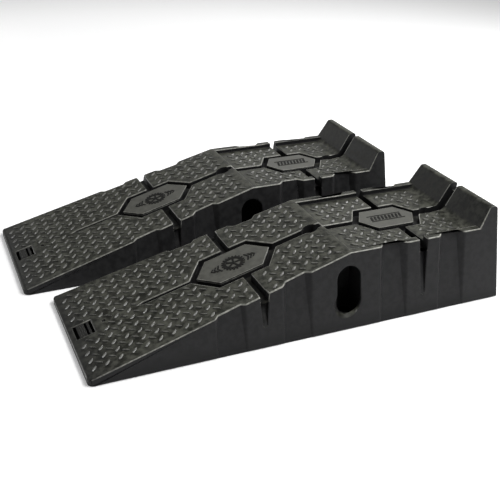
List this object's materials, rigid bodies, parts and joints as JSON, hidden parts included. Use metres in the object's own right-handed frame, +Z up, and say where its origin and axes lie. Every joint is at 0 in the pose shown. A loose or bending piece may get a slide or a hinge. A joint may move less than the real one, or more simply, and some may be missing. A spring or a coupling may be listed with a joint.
{
  "type": "drive-on vehicle ramp pair",
  "caption": "Pair of low drive-on ramps with a ribbed underside, side hand holes, a raised-pattern tread, hexagonal badges, a wheel seat and a split wheel stop.",
  "frame": {"origin": "centre of the pair's footprint at rest, on the floor that the feet stand on", "axes": "+X the way a vehicle drives up, from toe to wheel stop; +Y from the right ramp to the left ramp; +Z up"},
  "size_m": [1.0464, 0.76, 0.2255],
  "materials": {
    "ramp_plastic": "black filled polypropylene with a fine moulded grain",
    "badge_plastic": "dark grey moulded plastic plate, slightly smoother than the ramp",
    "pad_rubber": "black moulded rubber",
    "rivet_plastic": "black nylon",
    "foot_rubber": "black moulded rubber"
  },
  "bodies": {
    "right": {"right_ramp": "ramp_plastic", "right_lower_badge": "badge_plastic", "right_upper_badge": "badge_plastic", "right_toe_pad": "pad_rubber", "right_toe_rivet": "rivet_plastic", "right_foot_1": "foot_rubber", "right_foot_2": "foot_rubber", "right_foot_3": "foot_rubber", "right_foot_4": "foot_rubber", "right_foot_5": "foot_rubber", "right_foot_6": "foot_rubber"},
    "left": {"left_ramp": "ramp_plastic", "left_lower_badge": "badge_plastic", "left_upper_badge": "badge_plastic", "left_toe_pad": "pad_rubber", "left_toe_rivet": "rivet_plastic", "left_foot_1": "foot_rubber", "left_foot_2": "foot_rubber", "left_foot_3": "foot_rubber", "left_foot_4": "foot_rubber", "left_foot_5": "foot_rubber", "left_foot_6": "foot_rubber"}
  },
  "joints": [
    {"name": "ramp_spacing", "type": "slide", "parent": "right", "child": "left", "axis": [0, 1, 0], "range_m": [-0.04, 1.4]}
  ]
}
